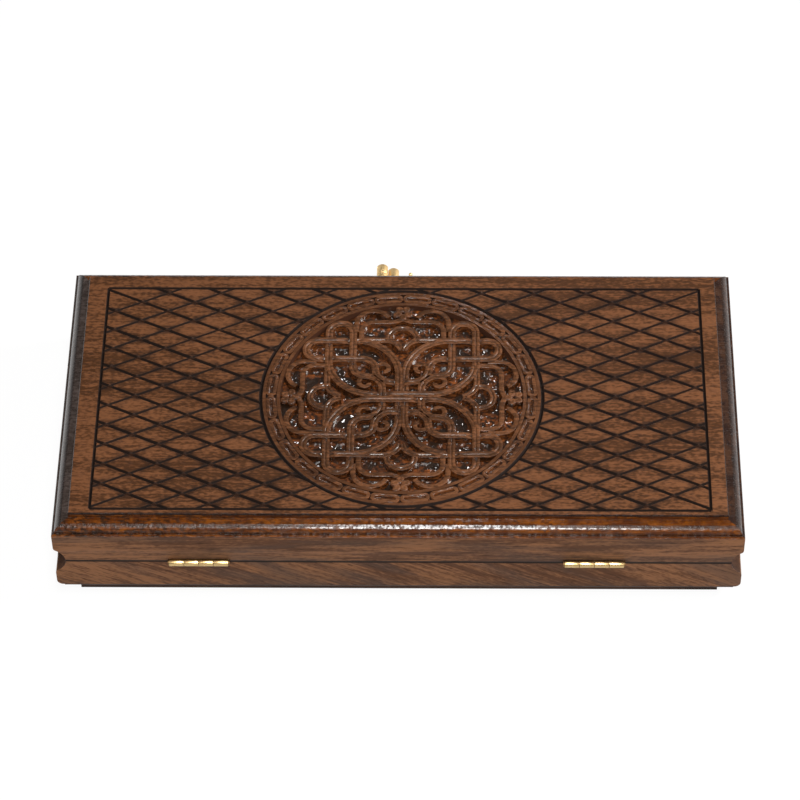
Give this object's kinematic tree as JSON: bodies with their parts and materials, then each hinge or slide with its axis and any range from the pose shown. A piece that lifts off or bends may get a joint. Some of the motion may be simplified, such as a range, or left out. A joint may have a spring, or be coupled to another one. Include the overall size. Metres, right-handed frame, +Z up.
{
  "type": "backgammon set",
  "caption": "Folding wooden backgammon case with a carved lid, brass butt hinges and a hook latch, holding turned checkers and dice on inlaid boards.",
  "frame": {"origin": "centre of the tray's flat underside, on the surface the closed case lies on", "axes": "+X along the long side to the right, +Y from the hinges towards the latch, +Z up"},
  "size_m": [0.5, 0.2737, 0.082],
  "materials": {
    "lid_walnut": "varnished walnut with dark-stained grooves",
    "tray_walnut": "varnished walnut",
    "board_walnut": "satin walnut veneer",
    "maple_inlay": "satin pale inlay",
    "dark_inlay": "satin dark inlay",
    "brass": "polished",
    "light_checker_wood": "turned and varnished",
    "dark_checker_wood": "turned and varnished",
    "die_ivory": "polished, pips filled dark"
  },
  "bodies": {
    "tray": {"tray_panel": "tray_walnut", "tray_front_rail": "tray_walnut", "tray_back_rail": "tray_walnut", "tray_left_end": "tray_walnut", "tray_right_end": "tray_walnut", "tray_board": "board_walnut", "tray_light_points": "maple_inlay", "tray_dark_points": "dark_inlay", "hinge_left_tray_leaf": "brass", "hinge_left_pin": "brass", "hinge_right_tray_leaf": "brass", "hinge_right_pin": "brass", "tray_brass_screws": "brass", "latch_catch": "brass"},
    "lid": {"lid_carved_panel": "lid_walnut", "lid_front_rail": "lid_walnut", "lid_back_rail": "lid_walnut", "lid_left_end": "lid_walnut", "lid_right_end": "lid_walnut", "lid_board": "board_walnut", "lid_light_points": "maple_inlay", "lid_dark_points": "dark_inlay", "hinge_left_lid_leaf": "brass", "hinge_right_lid_leaf": "brass", "lid_brass_screws": "brass", "latch_plate": "brass", "latch_pivot": "brass"},
    "hook": {"latch_hook": "brass"},
    "dark_checker_01": {"dark_checker_01": "dark_checker_wood"},
    "dark_checker_02": {"dark_checker_02": "dark_checker_wood"},
    "dark_checker_03": {"dark_checker_03": "dark_checker_wood"},
    "dark_checker_04": {"dark_checker_04": "dark_checker_wood"},
    "dark_checker_05": {"dark_checker_05": "dark_checker_wood"},
    "dark_checker_06": {"dark_checker_06": "dark_checker_wood"},
    "dark_checker_07": {"dark_checker_07": "dark_checker_wood"},
    "dark_checker_08": {"dark_checker_08": "dark_checker_wood"},
    "dark_checker_09": {"dark_checker_09": "dark_checker_wood"},
    "dark_checker_10": {"dark_checker_10": "dark_checker_wood"},
    "dark_checker_11": {"dark_checker_11": "dark_checker_wood"},
    "dark_checker_12": {"dark_checker_12": "dark_checker_wood"},
    "dark_checker_13": {"dark_checker_13": "dark_checker_wood"},
    "dark_checker_14": {"dark_checker_14": "dark_checker_wood"},
    "dark_checker_15": {"dark_checker_15": "dark_checker_wood"},
    "light_checker_01": {"light_checker_01": "light_checker_wood"},
    "light_checker_02": {"light_checker_02": "light_checker_wood"},
    "light_checker_03": {"light_checker_03": "light_checker_wood"},
    "light_checker_04": {"light_checker_04": "light_checker_wood"},
    "light_checker_05": {"light_checker_05": "light_checker_wood"},
    "light_checker_06": {"light_checker_06": "light_checker_wood"},
    "light_checker_07": {"light_checker_07": "light_checker_wood"},
    "light_checker_08": {"light_checker_08": "light_checker_wood"},
    "light_checker_09": {"light_checker_09": "light_checker_wood"},
    "light_checker_10": {"light_checker_10": "light_checker_wood"},
    "light_checker_11": {"light_checker_11": "light_checker_wood"},
    "light_checker_12": {"light_checker_12": "light_checker_wood"},
    "light_checker_13": {"light_checker_13": "light_checker_wood"},
    "light_checker_14": {"light_checker_14": "light_checker_wood"},
    "light_checker_15": {"light_checker_15": "light_checker_wood"},
    "die_left": {"die_left": "die_ivory"},
    "die_right": {"die_right": "die_ivory"}
  },
  "joints": [
    {"name": "case_lid_hinge", "type": "hinge", "parent": "tray", "child": "lid", "pos_m": [0, -0.1284, 0.041], "axis": [1, 0, 0], "range_deg": [0, 180]},
    {"name": "catch_hook_turn", "type": "hinge", "parent": "lid", "child": "hook", "pos_m": [-0.0152, 0.127, 0.064], "axis": [0, 1, 0], "range_deg": [-20, 70]},
    {"name": "dark_checker_01_lift", "type": "slide", "parent": "tray", "child": "dark_checker_01", "axis": [0, 0, 1], "range_m": [0, 0.036]},
    {"name": "dark_checker_02_lift", "type": "slide", "parent": "tray", "child": "dark_checker_02", "axis": [0, 0, 1], "range_m": [0, 0.036]},
    {"name": "dark_checker_03_lift", "type": "slide", "parent": "tray", "child": "dark_checker_03", "axis": [0, 0, 1], "range_m": [0, 0.036]},
    {"name": "dark_checker_04_lift", "type": "slide", "parent": "tray", "child": "dark_checker_04", "axis": [0, 0, 1], "range_m": [0, 0.036]},
    {"name": "dark_checker_05_lift", "type": "slide", "parent": "tray", "child": "dark_checker_05", "axis": [0, 0, 1], "range_m": [0, 0.036]},
    {"name": "dark_checker_06_lift", "type": "slide", "parent": "tray", "child": "dark_checker_06", "axis": [0, 0, 1], "range_m": [0, 0.036]},
    {"name": "dark_checker_07_lift", "type": "slide", "parent": "tray", "child": "dark_checker_07", "axis": [0, 0, 1], "range_m": [0, 0.036]},
    {"name": "dark_checker_08_lift", "type": "slide", "parent": "tray", "child": "dark_checker_08", "axis": [0, 0, 1], "range_m": [0, 0.036]},
    {"name": "dark_checker_09_lift", "type": "slide", "parent": "tray", "child": "dark_checker_09", "axis": [0, 0, 1], "range_m": [0, 0.036]},
    {"name": "dark_checker_10_lift", "type": "slide", "parent": "tray", "child": "dark_checker_10", "axis": [0, 0, 1], "range_m": [0, 0.036]},
    {"name": "dark_checker_11_lift", "type": "slide", "parent": "tray", "child": "dark_checker_11", "axis": [0, 0, 1], "range_m": [0, 0.036]},
    {"name": "dark_checker_12_lift", "type": "slide", "parent": "tray", "child": "dark_checker_12", "axis": [0, 0, 1], "range_m": [0, 0.036]},
    {"name": "dark_checker_13_lift", "type": "slide", "parent": "tray", "child": "dark_checker_13", "axis": [0, 0, 1], "range_m": [0, 0.036]},
    {"name": "dark_checker_14_lift", "type": "slide", "parent": "tray", "child": "dark_checker_14", "axis": [0, 0, 1], "range_m": [0, 0.036]},
    {"name": "dark_checker_15_lift", "type": "slide", "parent": "tray", "child": "dark_checker_15", "axis": [0, 0, 1], "range_m": [0, 0.036]},
    {"name": "light_checker_01_lift", "type": "slide", "parent": "tray", "child": "light_checker_01", "axis": [0, 0, 1], "range_m": [0, 0.036]},
    {"name": "light_checker_02_lift", "type": "slide", "parent": "tray", "child": "light_checker_02", "axis": [0, 0, 1], "range_m": [0, 0.036]},
    {"name": "light_checker_03_lift", "type": "slide", "parent": "tray", "child": "light_checker_03", "axis": [0, 0, 1], "range_m": [0, 0.036]},
    {"name": "light_checker_04_lift", "type": "slide", "parent": "tray", "child": "light_checker_04", "axis": [0, 0, 1], "range_m": [0, 0.036]},
    {"name": "light_checker_05_lift", "type": "slide", "parent": "tray", "child": "light_checker_05", "axis": [0, 0, 1], "range_m": [0, 0.036]},
    {"name": "light_checker_06_lift", "type": "slide", "parent": "tray", "child": "light_checker_06", "axis": [0, 0, 1], "range_m": [0, 0.036]},
    {"name": "light_checker_07_lift", "type": "slide", "parent": "tray", "child": "light_checker_07", "axis": [0, 0, 1], "range_m": [0, 0.036]},
    {"name": "light_checker_08_lift", "type": "slide", "parent": "tray", "child": "light_checker_08", "axis": [0, 0, 1], "range_m": [0, 0.036]},
    {"name": "light_checker_09_lift", "type": "slide", "parent": "tray", "child": "light_checker_09", "axis": [0, 0, 1], "range_m": [0, 0.036]},
    {"name": "light_checker_10_lift", "type": "slide", "parent": "tray", "child": "light_checker_10", "axis": [0, 0, 1], "range_m": [0, 0.036]},
    {"name": "light_checker_11_lift", "type": "slide", "parent": "tray", "child": "light_checker_11", "axis": [0, 0, 1], "range_m": [0, 0.036]},
    {"name": "light_checker_12_lift", "type": "slide", "parent": "tray", "child": "light_checker_12", "axis": [0, 0, 1], "range_m": [0, 0.036]},
    {"name": "light_checker_13_lift", "type": "slide", "parent": "tray", "child": "light_checker_13", "axis": [0, 0, 1], "range_m": [0, 0.036]},
    {"name": "light_checker_14_lift", "type": "slide", "parent": "tray", "child": "light_checker_14", "axis": [0, 0, 1], "range_m": [0, 0.036]},
    {"name": "light_checker_15_lift", "type": "slide", "parent": "tray", "child": "light_checker_15", "axis": [0, 0, 1], "range_m": [0, 0.036]},
    {"name": "die_left_lift", "type": "slide", "parent": "tray", "child": "die_left", "axis": [0, 0, 1], "range_m": [0, 0.032]},
    {"name": "die_right_lift", "type": "slide", "parent": "tray", "child": "die_right", "axis": [0, 0, 1], "range_m": [0, 0.032]}
  ]
}
